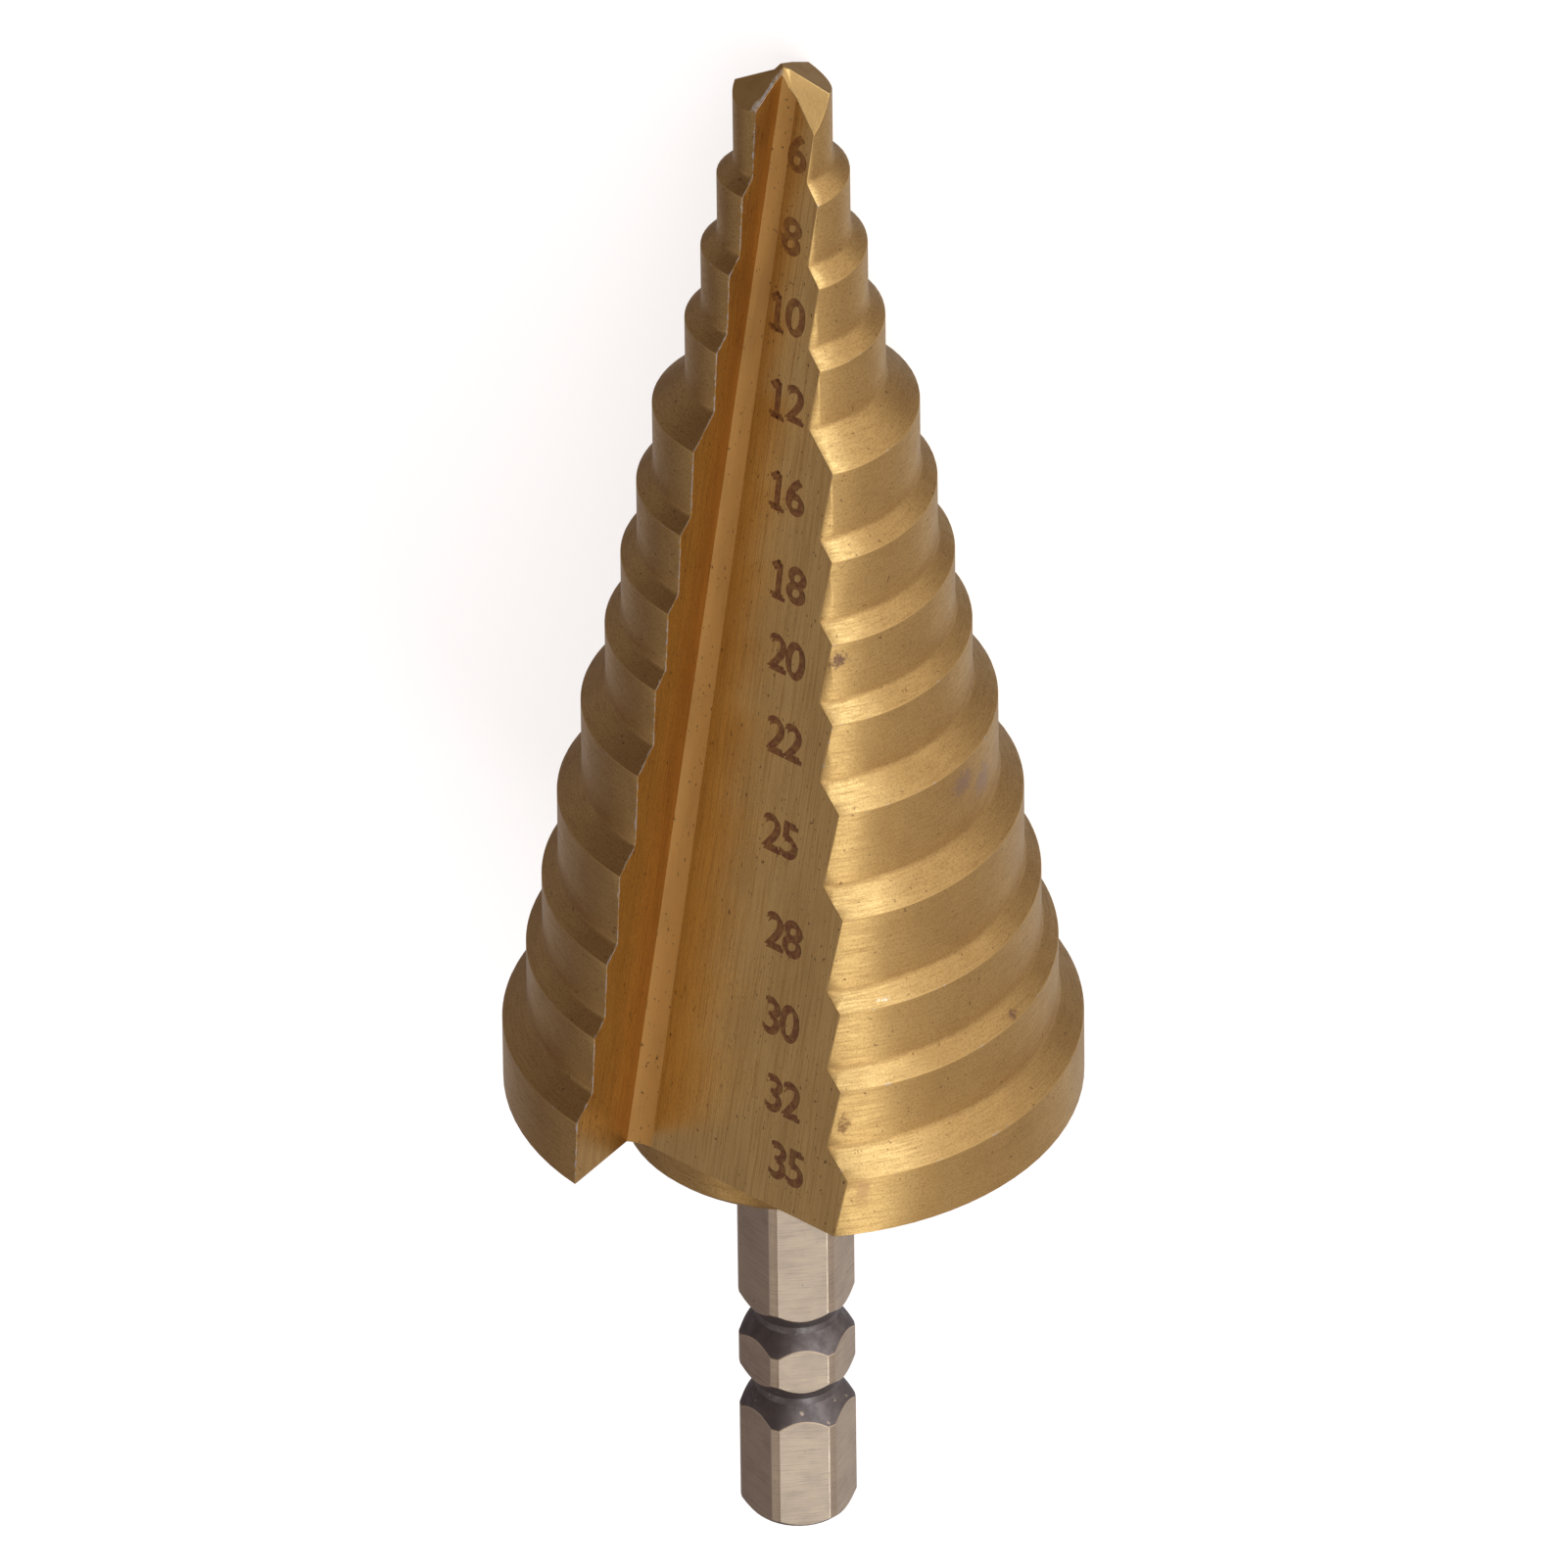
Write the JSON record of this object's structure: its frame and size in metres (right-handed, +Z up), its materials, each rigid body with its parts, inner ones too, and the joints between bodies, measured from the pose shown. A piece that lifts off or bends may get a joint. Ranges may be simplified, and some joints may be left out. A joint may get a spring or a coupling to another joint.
{
  "type": "step drill",
  "caption": "Stepped cone drill for sheet metal, with straight flutes, a gold-coated head with plain size marks and a grooved hexagonal shank.",
  "frame": {"origin": "middle of the footprint of the drill as it lies, on the surface it lies on", "axes": "+Y towards the end of the shank, +Z up, the drill's own axis in the YZ plane and falling towards the tip"},
  "size_m": [0.0348, 0.1036, 0.0312],
  "materials": {
    "coated_steel": "ground high-speed steel, gold titanium nitride on the head and collar, bare on the shank"
  },
  "bodies": {
    "root": {"step_drill": "coated_steel"}
  },
  "joints": []
}
